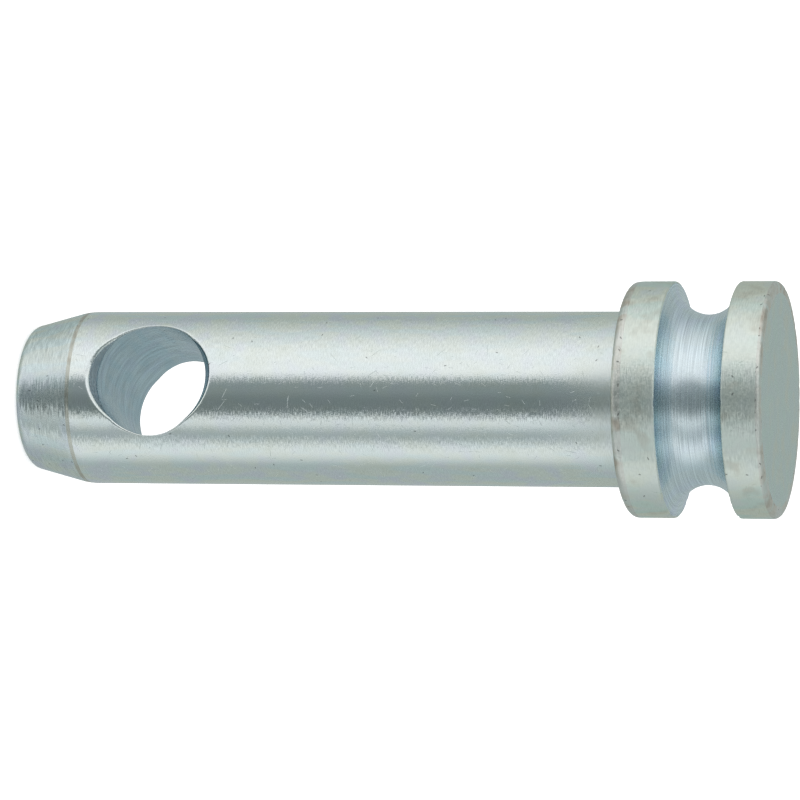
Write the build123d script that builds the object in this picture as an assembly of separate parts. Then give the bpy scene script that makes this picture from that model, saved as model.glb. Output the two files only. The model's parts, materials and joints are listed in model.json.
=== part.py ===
from build123d import *

import os
from math import radians, tan

# Clevis pin with a grooved head, one piece of turned steel, in millimetres.
#
# The pin stands on the flat of its tip at Z = 0, with its axis along +Z and its head on top.
# From the tip up it has a tapered lead-in, a plain round shank, and a head of two collars with a
# half-round groove between them, where a keeper plate or a chain ring lies.
# A hole for a linch pin runs right through the shank near the tip, along Y, with a countersunk
# mouth on both sides. The mouths are cut on a round shank, so each countersink is widest along
# the pin and runs out to nothing at its sides.

# Shank
shank_diameter = 19.0
shank_length = 67.75           # flat of the tip to the seat under the head
root_radius = 0.4              # inside corner where the shank meets the seat

# Lead-in taper at the tip
taper_length = 6.5
taper_angle = 15.0             # degrees, from the pin's axis
tip_edge_radius = 1.2

# Head
head_diameter = 25.5
inner_collar_thickness = 4.75
outer_collar_thickness = 4.15
seat_edge_radius = 0.9         # outer edge of the inner collar, next to the seat
face_edge_radius = 0.6         # outer edge of the head's end face

# Half-round groove, its centre on the surface of the head
groove_radius = 3.57
groove_lip_radius = 0.2

# Cross hole near the tip
hole_diameter = 12.3
hole_from_tip = 15.75          # flat of the tip to the hole's axis
countersink_diameter = 13.9    # where it is widest, at the crown of the shank
countersink_angle = 60.0       # degrees, both sides together

# Places that follow from the sizes above
shank_radius = shank_diameter / 2
head_radius = head_diameter / 2
tip_radius = shank_radius - taper_length * tan(radians(taper_angle))
groove_start = shank_length + inner_collar_thickness
groove_end = groove_start + 2 * groove_radius
total_length = groove_end + outer_collar_thickness


def turned_bar():
    """The bar after the lathe: taper, shank, collars and groove, with no hole yet."""
    # The section is half of the bar, from its axis outwards: X is the radius, Y is the height.
    with BuildSketch() as section:
        with BuildLine():
            outline = Polyline(
                (head_radius, groove_start),
                (head_radius, shank_length),
                (shank_radius, shank_length),
                (shank_radius, taper_length),
                (tip_radius, 0),
                (0, 0),
                (0, total_length),
                (head_radius, total_length),
                (head_radius, groove_end),
            )
            ThreePointArc(
                outline @ 1,
                (head_radius - groove_radius, groove_start + groove_radius),
                outline @ 0,
            )
        make_face()
        for corner, radius in (
            ((tip_radius, 0), tip_edge_radius),
            ((shank_radius, shank_length), root_radius),
            ((head_radius, shank_length), seat_edge_radius),
            ((head_radius, groove_start), groove_lip_radius),
            ((head_radius, groove_end), groove_lip_radius),
            ((head_radius, total_length), face_edge_radius),
        ):
            fillet(section.vertices().sort_by_distance(corner)[0], radius)
    return revolve(Plane.XZ * section.sketch, axis=Axis.Z)


def drill():
    """What the drill and the countersink take away, along Y through the axis of the pin."""
    hole_radius = hole_diameter / 2
    mouth_radius = countersink_diameter / 2
    slope = tan(radians(countersink_angle / 2))
    countersink_depth = (mouth_radius - hole_radius) / slope
    overrun = shank_radius
    with BuildPart() as cutter:
        with Locations((0, 0, hole_from_tip)):
            Cylinder(hole_radius, 2 * (shank_radius + overrun), rotation=(90, 0, 0))
        for side in (1, -1):
            middle = side * (shank_radius + (overrun - countersink_depth) / 2)
            with Locations((0, middle, hole_from_tip)):
                Cone(
                    bottom_radius=hole_radius,
                    top_radius=mouth_radius + overrun * slope,
                    height=countersink_depth + overrun,
                    rotation=(-90 * side, 0, 0),
                )
    return cutter.part


pin = turned_bar() - drill()
pin.label = "clevis_pin"

os.makedirs("parts", exist_ok=True)
export_step(pin, "parts/clevis_pin.step")
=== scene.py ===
# %% [markdown]
# # A zinc-plated clevis pin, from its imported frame
#
# The pin is one piece of turned steel: a round shank with a tapered tip, a cross hole for a linch
# pin, and a head of two collars with a half-round groove between them. The frame gives its solid,
# which is right in form and size but has clean, featureless faces. This lesson makes the surface
# that the lathe, the drill, the plating bath and some handling leave on such a pin.
#
# Sizes are in millimetres here, and are turned to metres once, where the mesh is made.

import json
from math import cos, pi, radians, sin, tan

import bmesh
import bpy
import numpy as np
from mathutils import Matrix, Vector


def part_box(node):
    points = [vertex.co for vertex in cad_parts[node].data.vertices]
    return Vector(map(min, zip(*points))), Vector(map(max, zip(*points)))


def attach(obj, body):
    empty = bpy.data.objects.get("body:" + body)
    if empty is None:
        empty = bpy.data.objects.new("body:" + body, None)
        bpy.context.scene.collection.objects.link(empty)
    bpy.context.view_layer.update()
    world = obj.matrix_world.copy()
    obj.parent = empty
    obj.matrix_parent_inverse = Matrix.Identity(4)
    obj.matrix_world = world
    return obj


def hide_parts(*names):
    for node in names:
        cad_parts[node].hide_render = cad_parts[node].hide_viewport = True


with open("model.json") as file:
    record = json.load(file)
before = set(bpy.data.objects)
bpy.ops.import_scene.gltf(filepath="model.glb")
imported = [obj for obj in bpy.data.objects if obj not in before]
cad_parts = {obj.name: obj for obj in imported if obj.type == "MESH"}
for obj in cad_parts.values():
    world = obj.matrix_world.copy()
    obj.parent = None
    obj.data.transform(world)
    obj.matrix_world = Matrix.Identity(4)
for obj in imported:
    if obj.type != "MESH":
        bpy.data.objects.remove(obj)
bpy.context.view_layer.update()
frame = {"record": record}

# %% [markdown]
# The record's mounts hold the sizes that other parts depend on: the shank, the cross hole, the seat
# and the groove. Reading them from the frame keeps this surface on the solid. The frame doesn't hold
# the taper, the countersink and the rounding of each edge, so those are named here, with the solid's
# own values. The knee above the taper and the rim of the hole are sharp on the solid, and are rounded
# here alone, as plating and wear leave them.

# %% Sizes in millimetres
MM = 0.001
mounts = {mount["name"]: mount for mount in frame["record"]["mounts"]}
shank_radius = mounts["shank"]["dims"]["r_mm"]
hole_radius = mounts["cross_hole"]["dims"]["r_mm"]
hole_height = mounts["cross_hole"]["pos_m"][2] / MM
seat_height = mounts["head_seat"]["pos_m"][2] / MM
groove_height = mounts["keeper_groove"]["pos_m"][2] / MM
top_height = mounts["head_face"]["pos_m"][2] / MM
head_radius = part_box("clevis_pin")[1].y / MM

taper_length = 6.5
taper_angle = 15.0
tip_edge_radius = 1.2
knee_radius = 7.0
root_radius = 0.4
inner_collar_thickness = 4.75
seat_edge_radius = 0.9
lip_radius = 0.2
face_edge_radius = 0.6
countersink_radius = 6.95
countersink_slope = tan(radians(30.0))
rim_width = 0.24
rim_width_at_crown = 0.52
pole_radius = 0.6               # where the flat ends stop and a fan of triangles closes them

groove_start = seat_height + inner_collar_thickness
groove_radius = groove_height - groove_start
groove_end = groove_height + groove_radius
tip_radius = shank_radius - taper_length * tan(radians(taper_angle))
print(f"shank {2 * shank_radius} mm, head {2 * head_radius:.2f} mm, hole {2 * hole_radius} mm")
print(f"groove from {groove_start:.2f} to {groove_end:.2f} mm, top at {top_height:.2f} mm")

# %% [markdown]
# A turned part is a profile carried round an axis, so the profile comes first. It could be one
# smooth curve, but a lathe makes straight runs and arcs, so it is a chain of runs whose corners are
# rounded. Rows lie close together where the light changes fast, on roundings and in the groove, and
# far apart along the plain shank.

# %% Runs and roundings of a profile
def run(start, end, step):
    """Points along the straight line from start to end, both included, at most one step apart."""
    length = np.hypot(end[0] - start[0], end[1] - start[1])
    return np.linspace(start, end, max(2, int(np.ceil(length / step)) + 1))


def rounding(before, corner, after, radius, count=7):
    """Points on the arc that rounds a corner.

    With unit vectors u and v from the corner to its neighbours, and h half the angle between them,
    the centre lies radius / sin(h) from the corner along u + v. The arc starts and ends
    radius / tan(h) from the corner, one end on each side.
    """
    before, corner, after = (np.asarray(point, float) for point in (before, corner, after))
    u = (before - corner) / np.linalg.norm(before - corner)
    v = (after - corner) / np.linalg.norm(after - corner)
    half = np.arccos(np.clip(u @ v, -1, 1)) / 2
    centre = corner + (u + v) / np.linalg.norm(u + v) * radius / np.sin(half)
    first = corner + u * radius / np.tan(half) - centre
    last = corner + v * radius / np.tan(half) - centre
    turn = np.arctan2(first[0] * last[1] - first[1] * last[0], first @ last)
    angle = np.linspace(0, turn, count)[:, None]
    across = np.array([-first[1], first[0]])
    return centre + np.cos(angle) * first + np.sin(angle) * across


# %% The profile in radius and height, zone by zone
ZONES = ["tip_face", "taper", "knee", "shank", "seat", "worn_edge", "collar", "groove", "end_face",
         "countersink", "bore"]


def tip_profile(top):
    """From the middle of the tip, over its rounded edge and up the taper, to a height on the shank."""
    edge = rounding((0, 0), (tip_radius, 0), (shank_radius, taper_length), tip_edge_radius, 11)
    knee = rounding((tip_radius, 0), (shank_radius, taper_length), (shank_radius, top), knee_radius, 13)
    return [
        (run((pole_radius, 0), edge[0], 0.6), "tip_face"),
        (edge, "taper"),
        (run(edge[-1], knee[0], 0.15), "taper"),
        (knee[:5], "taper"),
        (knee[4:8], "knee"),
        (knee[7:], "shank"),
        (run(knee[-1], (shank_radius, top), 0.2), "shank"),
    ]


def head_profile(bottom):
    """From a height on the shank, over the seat, both collars and the groove, to the end face.

    The groove is the half circle r = head radius - groove radius * cos(a), z = groove height +
    groove radius * sin(a), and its two lips are short roundings."""
    root = rounding((shank_radius, bottom), (shank_radius, seat_height), (head_radius, seat_height),
                    root_radius, 6)
    seat_edge = rounding((shank_radius, seat_height), (head_radius, seat_height),
                         (head_radius, groove_start), seat_edge_radius, 9)
    face_edge = rounding((head_radius, groove_end), (head_radius, top_height), (0, top_height),
                         face_edge_radius, 8)
    lip = rounding((head_radius, seat_height), (head_radius, groove_start),
                   (head_radius - groove_radius, groove_start), lip_radius, 4)
    mirrored_lip = (lip * (1, -1) + (0, 2 * groove_height))[::-1]
    first_angle = np.arccos(lip_radius / groove_radius)
    sweep = np.linspace(-first_angle, first_angle, 108)
    groove = np.column_stack([head_radius - groove_radius * np.cos(sweep),
                              groove_height + groove_radius * np.sin(sweep)])
    return [
        (run((shank_radius, bottom), root[0], 0.9), "shank"),
        (root, "seat"),
        (run(root[-1], seat_edge[0], 0.35), "seat"),
        (seat_edge, "worn_edge"),
        (run(seat_edge[-1], lip[0], 0.24), "collar"),
        (lip, "collar"),
        (groove, "groove"),
        (mirrored_lip, "collar"),
        (run(mirrored_lip[-1], face_edge[0], 0.24), "collar"),
        (face_edge, "worn_edge"),
        (run(face_edge[-1], (pole_radius, top_height), 0.7), "end_face"),
    ]


def joined(pieces):
    """One array of profile points from many, with doubled ends dropped, and the zone of each point."""
    points = np.concatenate([piece for piece, zone in pieces])
    zones = np.concatenate([np.full(len(piece), ZONES.index(zone)) for piece, zone in pieces])
    steps = np.linalg.norm(np.diff(points, axis=0), axis=1)
    kept = np.concatenate([[True], steps > 1e-6])
    return points[kept], zones[kept]


margin = 1.3
band_low = hole_height - countersink_radius - margin
band_high = hole_height + countersink_radius + margin
tip_points, tip_zones = joined(tip_profile(band_low))
head_points, head_zones = joined(head_profile(band_high))
print("profile rows:", len(tip_points), "at the tip and", len(head_points), "above the cross hole")

# %% [markdown]
# Each tool leaves its own relief: fine rings on the taper, deeper ones in the groove where the form
# tool chattered, and the pitted skin of the rolled bar on the collars, which were never turned. A
# ring has nearly the same height all the way round, so its height is one random number for each row
# of the profile, plus a few slow waves round the pin. Knocks are small round dents along the edges.

# %% Relief that the tools and handling leave
AROUND = 224
angles = np.arange(AROUND) * 2 * pi / AROUND - pi
rng = np.random.default_rng(19)
RING_HEIGHT = {"taper": 0.0035, "collar": 0.003, "groove": 0.005, "bore": 0.004}


def rings(rows, drift=0.5, waves=5):
    """Heights of about one on a grid of rows by angles: a random number for each row, plus a sum of
    size * cos(m * angle + phase) over m waves, with size and phase random for each row."""
    total = np.repeat(rng.normal(0, 1, (rows, 1)), AROUND, axis=1)
    for m in range(1, waves + 1):
        size = rng.normal(0, drift / m, (rows, 1))
        phase = rng.uniform(0, 2 * pi, (rows, 1))
        total += size * np.cos(m * angles + phase)
    return total


def dents(around, along, centres, widths, depths):
    """Heights of round dents: minus depth * exp(-(distance / width) squared), summed over the dents,
    with the distance measured in millimetres round the head and along its profile."""
    total = np.zeros(np.broadcast(around, along).shape)
    girth = 2 * pi * head_radius
    for (u, v), width, depth in zip(centres, widths, depths):
        offset = (around - u + girth / 2) % girth - girth / 2
        total -= depth * np.exp(-(offset**2 + (along - v) ** 2) / width**2)
    return total


def edge_knocks(points, length, height, spread, count, depth):
    """Dents scattered along the edge of a collar: as many as count, near one height on its rim."""
    rim = np.argmin(np.abs(points[:, 1] - height) + 10 * (points[:, 0] < head_radius - 0.5))
    centres = np.column_stack([rng.uniform(0, 2 * pi * head_radius, count),
                               length[rim] + rng.normal(0, spread, count)])
    widths = rng.uniform(0.15, 0.45, count)
    depths = depth * rng.uniform(0.2, 1.0, count)
    return dents(angles[None, :] * head_radius, length[:, None], centres, widths, depths)


def length_along(points):
    """The distance travelled along the profile at each of its points."""
    return np.concatenate([[0], np.cumsum(np.linalg.norm(np.diff(points, axis=0), axis=1))])


def carried_round(points, relief):
    """A grid of rows by angles: each point moved along the profile's normal by the relief, then
    turned round the axis as x = r * sin(angle), y = -r * cos(angle), z = height."""
    along = np.gradient(points, axis=0)
    along /= np.linalg.norm(along, axis=1)[:, None]
    radius = points[:, :1] + relief * along[:, 1:]
    height = points[:, 1:] - relief * along[:, :1]
    return np.stack([radius * np.sin(angles), -radius * np.cos(angles), height], axis=-1)


def zone_heights(zones):
    """The height of the rings on each row, in millimetres, as a column."""
    return np.array([RING_HEIGHT.get(ZONES[zone], 0.0) for zone in zones])[:, None]


tip_length = length_along(tip_points)
tip_grid = carried_round(tip_points, rings(len(tip_points)) * zone_heights(tip_zones))

head_length = length_along(head_points)
head_relief = rings(len(head_points)) * zone_heights(head_zones)
for height, spread, count, depth in (
    (seat_height + 0.6, 0.35, 90, 0.06),
    (groove_start, 0.12, 26, 0.10),
    (groove_end, 0.12, 22, 0.08),
    (top_height - 0.4, 0.25, 50, 0.05),
):
    head_relief += edge_knocks(head_points, head_length, height, spread, count, depth)
head_relief[0] = 0
head_relief[-1] = 0
head_grid = carried_round(head_points, head_relief)
print("grids:", tip_grid.shape, head_grid.shape)

# %% [markdown]
# The band of shank round the cross hole can't be a plain grid of rows and angles, because the hole
# cuts it. It could be cut with a Boolean, which leaves long thin triangles that show in a
# reflection. Here each half of the band is a grid of its own: one loop follows the mouth of the
# hole, the last loop is the half band's border, and the loops between them slide from one to the
# other. The bore is a third grid, from the front mouth to the back one, with the same loops.

# %% The band round the cross hole
SIDE_STEPS = 20
OUTER_LOOPS = 13
BORE_ROWS = 61
HALF = AROUND // 2
RIM_STEPS = np.array([0.0, 0.17, 0.34, 0.5, 0.67, 0.84, 1.0, 1.3, 1.8])[:, None]
CONE_STEPS = np.array([0.0, 0.1, 0.3, 0.5, 0.7, 0.9, 1.0])[:, None]
least_cone = 0.04              # depth of the countersink's rows where it has run out
burr_crest = 0.4               # how far outside the mouth the burr is highest
sink_start = shank_radius - (countersink_radius - hole_radius) / countersink_slope


def border():
    """The border of half the band as turn round the pin, from -90 to 90 degrees, and height: along
    the bottom, up one side, back along the top and down the other side."""
    turn = -pi / 2 + np.arange(HALF) * pi / HALF
    rise = band_low + (band_high - band_low) * np.arange(SIDE_STEPS) / SIDE_STEPS
    turns = np.concatenate([turn, np.full(SIDE_STEPS, pi / 2), -turn, np.full(SIDE_STEPS, -pi / 2)])
    heights = np.concatenate([np.full(HALF, band_low), rise,
                              np.full(HALF, band_high), band_low + band_high - rise])
    return turns, heights


def mouth(direction, sunk):
    """Where the bore or its countersink begins, for each direction from the hole's axis, when the rim
    is rounded so far that its inner edge lies sunk below the shank.

    The radius is the bore's, plus the countersink's slope times the depth that is left:
    hole radius + slope * (y - y where the countersink starts). The shank gives
    y = sqrt(shank radius squared - (radius * cos(direction)) squared) - sunk, so the two are worked
    out in turn until they agree."""
    radius = np.full_like(direction, hole_radius)
    for _ in range(40):
        y = np.sqrt(shank_radius**2 - (radius * np.cos(direction)) ** 2) - sunk
        radius = hole_radius + countersink_slope * np.maximum(0, y - sink_start)
    return radius, y


def wandering(count, step):
    """Closed smooth noise of height about one: cosines that go round 1, 2, 3 ... times, in random
    phase, each a step weaker than the one before."""
    place = np.arange(count) * 2 * pi / count
    waves = range(1, 24)
    return sum(rng.normal(0, m**-step) * np.cos(m * place + rng.uniform(0, 2 * pi)) for m in waves)


border_turn, border_height = border()
direction = np.arctan2(border_height - hole_height, shank_radius * border_turn)
LOOP = len(direction)
toward_crown = np.sin(direction) ** 2
rim = rim_width + (rim_width_at_crown - rim_width) * toward_crown
rim = rim * (1 + 0.10 * wandering(LOOP, 0.8) + 0.05 * rng.normal(0, 1, LOOP))
rim_sunk = rim * (0.7 + 0.1 * toward_crown)
mouth_radius, mouth_depth = mouth(direction, rim_sunk)
mouth_turn = np.arcsin(mouth_radius * np.cos(direction) / shank_radius)
mouth_height = hole_height + mouth_radius * np.sin(direction)

width = np.hypot(shank_radius * (border_turn - mouth_turn), border_height - mouth_height)
close = RIM_STEPS * rim
outside = close[-1] + (width - close[-1]) * np.linspace(0, 1, OUTER_LOOPS)[1:, None]
distance = np.concatenate([close, outside])
slides = distance / width
band_turn = mouth_turn + slides * (border_turn - mouth_turn)
band_height = mouth_height + slides * (border_height - mouth_height)
burr_height = 0.006 * (1 + wandering(LOOP, 1.0) + 0.5 * rng.normal(0, 1, LOOP))


def half_band(side):
    """One half of the band: x = r * sin(turn), z = height, y = side * (r * cos(turn) - drop).

    The rim's rounding is a parabola, drop = sunk * (1 - distance / rim) squared, and just outside it
    lies a low burr, height * out * exp(1 - out) with out = distance / crest, which fades to nothing at
    the border."""
    drop = rim_sunk * np.maximum(0, 1 - distance / rim) ** 2
    out = distance / burr_crest
    drop = drop - burr_height * (1 - slides) * out * np.exp(1 - out)
    depth = shank_radius * np.cos(band_turn) - drop
    return np.stack([shank_radius * np.sin(band_turn), side * depth, band_height], axis=-1)


def bore():
    """The bore and both countersinks, from the front mouth to the back one: x = r * cos(direction),
    z = hole height + r * sin(direction), with y running through the pin and r from the mouth's
    radius down the countersink to the bore's. The drill's rings are small steps in r."""
    edge = np.where(mouth_depth > sink_start, sink_start, mouth_depth - least_cone)
    cone_depth = mouth_depth + CONE_STEPS * (edge - mouth_depth)
    cone_radius = hole_radius + countersink_slope * np.maximum(0, cone_depth - sink_start)
    through = np.linspace(1, -1, BORE_ROWS)[1:-1, None] * edge
    depth = np.concatenate([-cone_depth, -through, cone_depth[::-1]])
    steps = rng.normal(0, RING_HEIGHT["bore"], (len(through), 1)) * np.ones(LOOP)
    radius = np.concatenate([cone_radius, hole_radius + steps, cone_radius[::-1]])
    return np.stack([radius * np.cos(direction), depth, hole_height + radius * np.sin(direction)], axis=-1)


front_band = half_band(-1)
back_band = half_band(1)
bore_grid = bore()
bore_grid[0] = front_band[0]
bore_grid[-1] = back_band[0]
print("loops round the hole:", len(slides), "on the band and", len(bore_grid), "through the bore")

# %% [markdown]
# All the grids become one mesh. Each grid is turned into faces by the same rule, the shared borders
# are merged, and the two poles are closed by a fan. The mesh also gets a UV map that isn't for a
# picture: U is the distance round the pin, or round the hole, and V the distance along the profile,
# in millimetres. Turning marks follow them, so one material works on the shank, on the end face and
# inside the hole.

# %% One mesh from the grids
def grid_corners(rows, columns):
    """Row and column of the four corners of each face, going once round a closed loop."""
    i, j = np.meshgrid(np.arange(rows - 1), np.arange(columns), indexing="ij")
    k = (j + 1) % columns
    return np.stack([i, i, i + 1, i + 1], -1).reshape(-1, 4), np.stack([j, k, k, j], -1).reshape(-1, 4)


def grid_marks(around, along, girth):
    """U and V at the corners of each face. Where a face crosses the seam, U runs on past it."""
    i, j = grid_corners(*around.shape)
    u = around[i, j]
    u = u[:, :1] + (u - u[:, :1] + girth / 2) % girth - girth / 2
    return np.stack([u, along[i, j]], -1)


shank_girth = 2 * pi * shank_radius
band_start = tip_length[-1]
head_start = band_start + band_high - band_low
cone_rows = len(CONE_STEPS)
bore_zones = np.full(len(bore_grid) - 1, ZONES.index("bore"))
bore_zones[:cone_rows] = ZONES.index("countersink")
bore_zones[1 - cone_rows:] = ZONES.index("countersink")
band_zones = np.full(len(slides) - 1, ZONES.index("shank"))
columns = np.ones(AROUND)
bore_start = 200               # the bore's V is far from the shank's, so its marks differ
grids = [
    (tip_grid, tip_length[:, None] * columns, tip_zones[:-1]),
    (head_grid, (head_length + head_start)[:, None] * columns, head_zones[:-1]),
    (front_band, band_height - band_low + band_start, band_zones),
    (back_band, band_height - band_low + band_start, band_zones),
    (bore_grid, bore_start + bore_grid[..., 1], bore_zones),
]
vertices, faces, marks, face_zones = [], [], [], []
first = 0
for grid, along, zones in grids:
    i, j = grid_corners(*along.shape)
    faces += (first + i * along.shape[1] + j).tolist()
    if grid is bore_grid:
        around = hole_radius * direction * np.ones_like(along)
        marks.append(grid_marks(around, along, 2 * pi * hole_radius))
    else:
        around = shank_radius * np.arctan2(grid[..., 0], -grid[..., 1])
        marks.append(grid_marks(around, along, shank_girth))
    vertices.append(grid.reshape(-1, 3))
    face_zones.append(np.repeat(zones, along.shape[1]))
    first += along.size
marks = [each.reshape(-1, 2) for each in marks]

ring = np.arange(AROUND)
last_row = tip_grid.shape[0] * AROUND + (len(head_points) - 1) * AROUND
for height, ring_start, zone in ((0.0, 0, "tip_face"), (top_height, last_row, "end_face")):
    vertices.append(np.array([[0.0, 0.0, height]]))
    fan = [ring_start + ring, ring_start + (ring + 1) % AROUND, np.full(AROUND, first)]
    faces += np.stack(fan, -1).tolist()
    marks.append(np.zeros((3 * AROUND, 2)))
    face_zones.append(np.full(AROUND, ZONES.index(zone)))
    first += 1

mesh = bpy.data.meshes.new("plated_pin")
mesh.from_pydata((np.concatenate(vertices) * MM).tolist(), [], faces)
mesh.uv_layers.new(name="turning").data.foreach_set("uv", np.concatenate(marks).ravel())
mesh.polygons.foreach_set("material_index", np.concatenate(face_zones))
mesh.polygons.foreach_set("use_smooth", np.ones(len(faces), bool))

work = bmesh.new()
work.from_mesh(mesh)
bmesh.ops.remove_doubles(work, verts=work.verts, dist=1e-7)
bmesh.ops.recalc_face_normals(work, faces=work.faces)
print("open edges:", sum(not edge.is_manifold for edge in work.edges))
print(f"volume: {work.calc_volume() / MM**3:.1f} mm3")
work.to_mesh(mesh)
work.free()
pin = bpy.data.objects.new("plated_pin", mesh)
bpy.context.scene.collection.objects.link(pin)
print("faces:", len(mesh.polygons), "triangles:", sum(len(p.vertices) - 2 for p in mesh.polygons))

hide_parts("clevis_pin")
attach(pin, "root")

# %% [markdown]
# ## Materials
#
# The pin is steel with a few thousandths of a millimetre of zinc on it, dipped in a clear blue
# passivate. Zinc is a bluish white metal, and the film over it gives faint green, blue and straw
# colours that drift across the part. The film doesn't hide the marks of the tools under it.

# %% Helpers for node materials
def linear(hex_colour):
    """A written sRGB colour as the linear red, green, blue and alpha that Blender works with."""
    values = [int(hex_colour[i:i + 2], 16) / 255 for i in (1, 3, 5)]
    return [v / 12.92 if v <= 0.04045 else ((v + 0.055) / 1.055) ** 2.4 for v in values] + [1.0]


def add(tree, kind, inputs=None, output=0, **settings):
    """Adds a node to a tree with its own settings, gives each named input a value or a link, and
    returns one of its outputs."""
    node = tree.nodes.new("ShaderNode" + kind)
    for name, value in settings.items():
        setattr(node, name, value)
    for name, value in (inputs or {}).items():
        if isinstance(value, bpy.types.NodeSocket):
            tree.links.new(value, node.inputs[name])
        else:
            node.inputs[name].default_value = value
    return node.outputs[output] if node.outputs else node


def scattered(tree, surface, cell, width, length, share):
    """One on short straight marks that lie in random directions, and zero between them.

    The surface is split into cells of that size in millimetres, each round a random point. A share
    of them has a mark through its point: where |x| < width / 2 and |y| < length / 2, after x and y
    are turned by the cell's own angle."""
    scaled = add(tree, "VectorMath", {0: surface, "Scale": 1 / cell}, operation="SCALE")
    cells = {"Vector": scaled, "Scale": 1.0}
    point = add(tree, "TexVoronoi", cells, "Position", voronoi_dimensions="2D")
    tint = add(tree, "TexVoronoi", cells, "Color", voronoi_dimensions="2D")
    lot = add(tree, "SeparateColor", {"Color": tint}).node
    angle = add(tree, "Math", {0: lot.outputs["Red"], 1: 2 * pi}, operation="MULTIPLY")
    offset = add(tree, "VectorMath", {0: scaled, 1: point}, operation="SUBTRACT")
    turned = add(tree, "VectorRotate", {"Vector": offset, "Angle": angle}, rotation_type="Z_AXIS")
    halves = (2 * cell / width, 2 * cell / length, 1)
    sized = add(tree, "VectorMath", {0: turned, 1: halves}, operation="MULTIPLY")
    sized = add(tree, "VectorMath", {0: sized}, operation="ABSOLUTE")
    parts = add(tree, "SeparateXYZ", {0: sized}).node
    nearer = add(tree, "Math", {0: parts.outputs["X"], 1: parts.outputs["Y"]}, operation="MAXIMUM")
    inside = add(tree, "MapRange", {"Value": nearer, "From Min": 1.1, "From Max": 0.6})
    drawn = add(tree, "Math", {0: lot.outputs["Green"], 1: share}, operation="LESS_THAN")
    return add(tree, "Math", {0: inside, 1: drawn}, operation="MULTIPLY")


# %% [markdown]
# One function makes the finish of every zone, because all of them went through the same bath. What
# changes from zone to zone is the surface under the zinc: how far apart the tool marks are, how long
# each one is, how much it tips the surface, and how grainy the skin is. The marks also get a painted
# sheen, lighter and darker lines in the metal's colour that stand in for the light the marks reflect.
# Seen straight on, the film is clear, and seen aslant its colours show, because light then goes a
# longer way through it.

# %% The plated finish
SMEAR_ROUND, SMEAR_ALONG = 1.6, 7.0    # size of the drifts of film colour, in millimetres
CLOUD = 2.6                            # size of the patches of the third colour and of the stain
PIT_DARKNESS = 0.6
SCRATCH_ROUGHNESS = 0.45
DULL_LENGTH = 9                        # how far under the head the duller stretch begins


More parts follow.
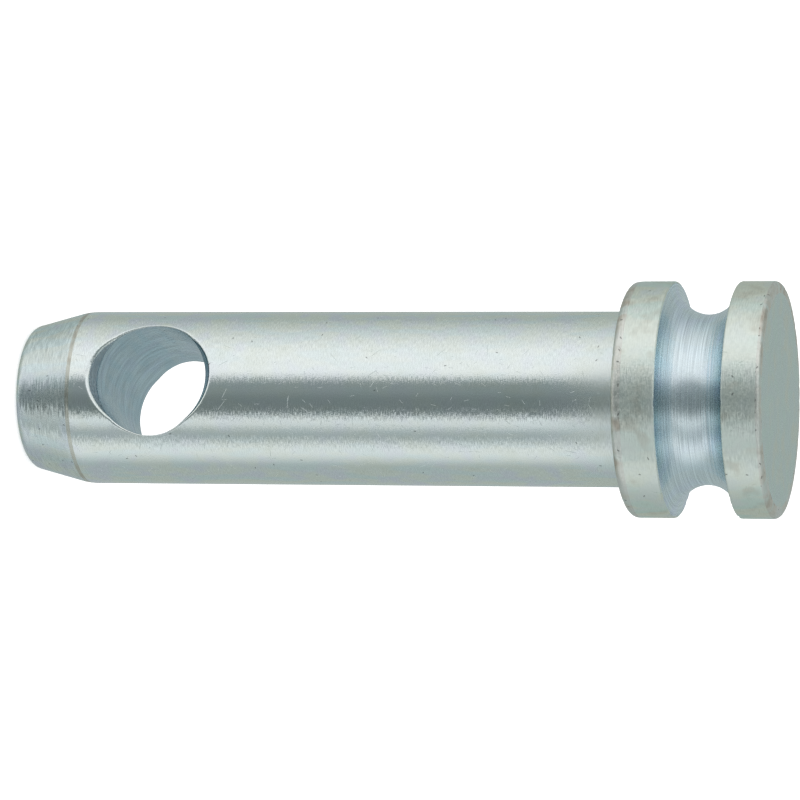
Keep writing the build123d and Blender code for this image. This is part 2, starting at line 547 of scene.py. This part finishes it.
def plated(name, clean, films, aslant, roughness, pitch, length, sway, depth, painted_sheen, grain, skin,
           scratches=0.0, pits=0.0, stain=0.0, stain_tint="#A8957F", dull=0.0):
    """Zinc plate over a machined surface, with a clear passivate film.

    Clean is the colour seen straight on, and films are three colours seen aslant, up to the share
    that aslant gives. Pitch and length are the tool marks' spacing and length in millimetres. Each
    turns the surface round the pin by about sway degrees and is depth millimetres high. Along the
    marks the metal's colour is also made lighter or darker by up to shade: a painted sheen, standing
    in for the light and dark lines that the tool marks reflect. Grain is the size of the plate's
    crystals and skin their height, in millimetres. Scratches, pits and stain are how much of each there
    is, stain_tint is the colour of the stain, and dull is how much rougher the pin gets towards the seat
    under the head."""
    material = bpy.data.materials.new(name)
    material.use_nodes = True
    tree = material.node_tree
    shader = tree.nodes["Principled BSDF"]
    place = add(tree, "TexCoord", output="Object")
    surface = add(tree, "UVMap", uv_map="turning")

    lay = add(tree, "VectorMath", {0: surface, 1: (1 / length, 1 / pitch, 1)}, operation="MULTIPLY")
    marks = add(tree, "TexNoise", {"Vector": lay, "Scale": 1.0, "Detail": 3.0, "Roughness": 0.65},
                noise_dimensions="2D")
    crystals = add(tree, "TexNoise", {"Vector": place, "Scale": 1 / (grain * MM), "Detail": 2.0})
    drift = (1 / SMEAR_ROUND, 1 / SMEAR_ALONG, 1)
    along = add(tree, "VectorMath", {0: surface, 1: drift}, operation="MULTIPLY")
    smears = add(tree, "TexNoise", {"Vector": along, "Scale": 1.0, "Detail": 1.5, "Roughness": 0.5},
                 noise_dimensions="2D")
    cloud = add(tree, "TexNoise", {"Vector": place, "Scale": 1 / (CLOUD * MM), "Detail": 2.0})

    first_film = add(tree, "MapRange", {"Value": smears, "From Min": 0.40, "From Max": 0.52})
    second_film = add(tree, "MapRange", {"Value": cloud, "From Min": 0.50, "From Max": 0.66})
    film = add(tree, "Mix", {0: first_film, 6: linear(films[0]), 7: linear(films[1])}, 2, data_type="RGBA")
    film = add(tree, "Mix", {0: second_film, 6: film, 7: linear(films[2])}, 2, data_type="RGBA")
    facing = add(tree, "LayerWeight", {"Blend": 0.5}, "Facing")
    shown = add(tree, "MapRange", {"Value": facing, "From Min": 0.15, "From Max": 0.75,
                                   "To Min": 0.25 * aslant, "To Max": aslant})
    colour = add(tree, "Mix", {0: shown, 6: linear(clean), 7: film}, 2, data_type="RGBA")
    stained = add(tree, "MapRange", {"Value": cloud, "From Min": 0.32, "From Max": 0.45,
                                     "To Min": stain, "To Max": 0.0})
    colour = add(tree, "Mix", {0: stained, 6: colour, 7: linear(stain_tint)}, 2, data_type="RGBA")

    # Painted sheen: the colour is made lighter and darker along the tool marks, in place of the light and
    # dark lines that the marks reflect. The pits below then darken it too.
    level = add(tree, "MapRange", {"Value": marks, "From Min": 0.30, "From Max": 0.70,
                                   "To Min": 1 - painted_sheen, "To Max": 1 + painted_sheen})
    pitted = scattered(tree, surface, 1.1, 0.13, 0.30, pits)
    pitted = add(tree, "Math", {0: pitted, 1: -PIT_DARKNESS, 2: 1.0}, operation="MULTIPLY_ADD")
    level = add(tree, "Math", {0: level, 1: pitted}, operation="MULTIPLY")
    colour = add(tree, "VectorMath", {0: colour, "Scale": level}, operation="SCALE")
    tree.links.new(colour, shader.inputs["Base Color"])
    shader.inputs["Metallic"].default_value = 1.0

    scratch = scattered(tree, surface, 2.4, 0.09, 1.3, scratches)
    fine_scratch = scattered(tree, surface, 0.9, 0.06, 0.6, scratches)
    scratch = add(tree, "Math", {0: scratch, 1: fine_scratch}, operation="MAXIMUM")
    rough = add(tree, "MapRange", {"Value": crystals, "From Min": 0.30, "From Max": 0.70,
                                   "To Min": 0.8 * roughness, "To Max": 1.2 * roughness})
    rough = add(tree, "Math", {0: scratch, 1: SCRATCH_ROUGHNESS, 2: rough}, operation="MULTIPLY_ADD")
    rise = add(tree, "SeparateXYZ", {0: place}, "Z")
    under_head = add(tree, "MapRange", {"Value": rise, "From Min": (seat_height - DULL_LENGTH) * MM,
                                        "From Max": seat_height * MM, "To Max": dull})
    rough = add(tree, "Math", {0: rough, 1: under_head}, operation="ADD")
    tree.links.new(rough, shader.inputs["Roughness"])

    turn = add(tree, "MapRange", {"Value": marks, "From Min": 0.38, "From Max": 0.62,
                                  "To Min": -radians(sway), "To Max": radians(sway)}, clamp=False)
    normal = add(tree, "NewGeometry", output="Normal")
    normal = add(tree, "VectorRotate", {"Vector": normal, "Angle": turn}, rotation_type="Z_AXIS")
    height = add(tree, "Math", {0: marks, 1: depth * MM}, operation="MULTIPLY")
    height = add(tree, "Math", {0: crystals, 1: skin * MM, 2: height}, operation="MULTIPLY_ADD")
    normal = add(tree, "Bump", {"Height": height, "Distance": 1.0, "Strength": 1.0, "Normal": normal})
    tree.links.new(normal, shader.inputs["Normal"])
    return material


FILMS = ("#CCE1DB", "#DCE3CF", "#D2D6E0")
# In every finish, shade sets how strong the painted sheen along the tool marks is.
finishes = {
    "tip_face": plated(
        "zinc_on_parted_steel", "#D8DEDA", FILMS, 0.6,
        roughness=0.28, pitch=0.30, length=6.0, sway=0.0, depth=0.010, painted_sheen=0.06, grain=0.20,
        skin=0.002),
    "taper": plated(
        "zinc_on_turned_taper", "#D0DCE0", FILMS, 0.7,
        roughness=0.28, pitch=0.20, length=1.6, sway=2.8, depth=0.012, painted_sheen=0.12, grain=0.20,
        skin=0.005, pits=0.12, stain=0.08),
    "knee": plated(
        "worn_zinc_at_the_knee", "#CBCFC8", ("#C6CBC0", "#BAB5A4", "#BFC2B6"), 0.8,
        roughness=0.30, pitch=0.20, length=1.6, sway=2.5, depth=0.008, painted_sheen=0.10, grain=0.20,
        skin=0.006, pits=0.3, stain=0.5, stain_tint="#938D7F"),
    "shank": plated(
        "zinc_on_ground_steel", "#E4ECED", FILMS, 0.7,
        roughness=0.13, pitch=0.11, length=0.55, sway=1.4, depth=0.002, painted_sheen=0.09, grain=0.13,
        skin=0.007, scratches=0.26, pits=0.035, stain=0.10, stain_tint="#C6CAA6", dull=0.22),
    "seat": plated(
        "zinc_under_the_head", "#DDE5E8", FILMS, 0.5,
        roughness=0.22, pitch=0.15, length=3.0, sway=1.0, depth=0.004, painted_sheen=0.05, grain=0.20,
        skin=0.003),
    "collar": plated(
        "zinc_on_bar_skin", "#E6EFEA", ("#C6DCD0", "#D8DCC8", "#D0D8D4"), 0.8,
        roughness=0.38, pitch=0.13, length=0.7, sway=2.5, depth=0.003, painted_sheen=0.05, grain=0.25,
        skin=0.012, scratches=0.12, pits=0.07, stain=0.22),
    "worn_edge": plated(
        "rubbed_zinc_on_the_edges", "#E3E7E3", ("#C8D3CA", "#C8C4B4", "#CDCFC9"), 0.8,
        roughness=0.36, pitch=0.13, length=0.7, sway=3.0, depth=0.003, painted_sheen=0.08, grain=0.25,
        skin=0.018, scratches=0.2, pits=0.45, stain=0.50),
    "groove": plated(
        "zinc_on_form_turned_groove", "#E0ECF2", ("#C9E0E6", "#CDDEDE", "#CCD9E8"), 0.7,
        roughness=0.26, pitch=0.15, length=11.0, sway=0.8, depth=0.010, painted_sheen=0.20, grain=0.25,
        skin=0.002),
    "end_face": plated(
        "zinc_on_faced_steel", "#C3D5CD", ("#BED2C9", "#BFCFCB", "#C8CFC0"), 0.8,
        roughness=0.30, pitch=0.35, length=12.0, sway=0.0, depth=0.005, painted_sheen=0.04, grain=0.25,
        skin=0.003),
    "countersink": plated(
        "zinc_in_the_countersinks", "#D3E2E8", ("#C6DCE4", "#D2DEDD", "#C9D6E2"), 0.6,
        roughness=0.38, pitch=0.20, length=3.0, sway=1.0, depth=0.006, painted_sheen=0.08, grain=0.2,
        skin=0.004),
    "bore": plated(
        "zinc_on_drilled_steel", "#B3CAD3", ("#A9C4CE", "#B4C8CE", "#AFC2D0"), 0.8,
        roughness=0.26, pitch=0.60, length=4.0, sway=0.0, depth=0.018, painted_sheen=0.16, grain=0.30,
        skin=0.003),
}
for zone in ZONES:
    mesh.materials.append(finishes[zone])
print("materials:", [material.name for material in mesh.materials])

# %% [markdown]
# ## Studio
#
# Metal shows what stands round it, so the studio is part of the finish. It is a round light tent,
# bright to one side, dim behind the part and dark where the camera looks in. Cards and lamps could
# make those bands, but then every other view would look at the back of a card. The world makes them
# instead, for reflections alone, and is even white light for everything else. Each panel of the tent
# has one level, and the light fades evenly from one panel to the next.

# %% The tent, as bands round the vertical
VIEW_AZIMUTH, VIEW_ELEVATION, VIEW_ROLL = radians(15.1), radians(14.514), radians(90.222)
TENT = [  # from and to, in degrees from the camera towards the pin's right, and how bright it is there
    (-180, -130, 0.50),    # the back of the tent
    (-65, -32, 1.00),      # the large light at the left
    (-22, -10, 0.30),      # the near side of the opening, where some of that light spills
    (0, 18, 0.22),         # the opening that the camera looks in through
    (28, 33, 0.85),        # a strip light at the right
    (46, 53, 0.45),        # plain wall between the two strips
    (68, 80, 0.85),        # a second, softer strip
    (100, 180, 0.50),      # the back again
]


def tent_world():
    """A world that is even white light, with a banded tent wall for what metal reflects.

    The radial gradient gives atan2(y, x) / 2 pi + 1/2 of a direction, and the mapping first turns
    the direction so that the camera's side comes out at one half. A dim wall is greener than a
    bright one, because its light has come through more of the tent's cloth: for a level v the colour
    is v * (0.82 + 0.18 v), v and v."""
    world = bpy.data.worlds.new("light_tent")
    world.use_nodes = True
    tree = world.node_tree
    tree.nodes.clear()
    toward = add(tree, "TexCoord", output="Generated")
    turned = add(tree, "Mapping", {"Vector": toward, "Rotation": (0, 0, pi / 2 - VIEW_AZIMUTH)})
    angle = add(tree, "TexGradient", {"Vector": turned}, "Fac", gradient_type="RADIAL")
    bands = add(tree, "ValToRGB", {"Fac": angle})
    ramp = bands.node.color_ramp
    edges = [(turn, level) for first, last, level in TENT for turn in (first, last)]
    while len(ramp.elements) < len(edges):
        ramp.elements.new(0.5)
    for element, (turn, level) in zip(ramp.elements, edges):
        element.position = (turn + 180) / 360
        element.color = (level * (0.82 + 0.18 * level), level, level, 1)
    wall = add(tree, "Background", {"Color": bands})
    even = add(tree, "Background", {"Color": (1, 1, 1, 1)})
    reflected = add(tree, "LightPath", output="Is Glossy Ray")
    light = add(tree, "MixShader", {0: reflected, 1: even, 2: wall})
    add(tree, "OutputWorld", {"Surface": light})
    return world


scene = bpy.context.scene
scene.world = tent_world()
scene.view_settings.view_transform = "Standard"

# %% [markdown]
# The pin stands on its tip on a white floor. The floor is matt, and for the camera it also glows a
# little, so that it is white where nothing shades it and the pin's soft shadow stays.

# %% The floor
def white_floor():
    """A matt white surface with a little light of its own for camera rays."""
    material = bpy.data.materials.new("white_paper")
    material.use_nodes = True
    tree = material.node_tree
    tree.nodes.clear()
    matt = add(tree, "BsdfDiffuse", {"Color": linear("#EDEDED")})
    seen = add(tree, "LightPath", output="Is Camera Ray")
    strength = add(tree, "Math", {0: seen, 1: 0.52}, operation="MULTIPLY")
    glow = add(tree, "Emission", {"Color": (1, 1, 1, 1), "Strength": strength})
    both = add(tree, "AddShader", {0: matt, 1: glow})
    add(tree, "OutputMaterial", {"Surface": both})
    return material


reach = 8.0                    # half the floor's width, in metres
floor_corners = [(-reach, -reach, 0), (reach, -reach, 0), (reach, reach, 0), (-reach, reach, 0)]
floor_mesh = bpy.data.meshes.new("floor")
floor_mesh.from_pydata(floor_corners, [], [(0, 1, 2, 3)])
floor_mesh.materials.append(white_floor())
floor = bpy.data.objects.new("floor", floor_mesh)
scene.collection.objects.link(floor)
floor.visible_glossy = False

# %% [markdown]
# A long lens far away keeps the two ends of the pin nearly the same size. The camera looks a little
# down on the standing pin and is turned on its side, so the pin lies across the picture.

# %% The camera
aim = Vector((0.34, -0.69, 41.95)) * MM
camera_distance = 0.5278
camera_data = bpy.data.cameras.new("camera")
camera_data.lens = 217.87
camera_data.sensor_width = 36.0
camera_data.clip_start = 0.01
camera = bpy.data.objects.new("camera", camera_data)
back = Vector((sin(VIEW_AZIMUTH) * cos(VIEW_ELEVATION), -cos(VIEW_AZIMUTH) * cos(VIEW_ELEVATION),
               sin(VIEW_ELEVATION)))
upright = back.to_track_quat("Z", "Y").to_matrix().to_4x4()
camera.matrix_world = (Matrix.Translation(aim + back * camera_distance) @ upright
                       @ Matrix.Rotation(VIEW_ROLL, 4, "Z"))
scene.collection.objects.link(camera)
scene.camera = camera
print("camera at", [round(value, 4) for value in camera.matrix_world.translation])
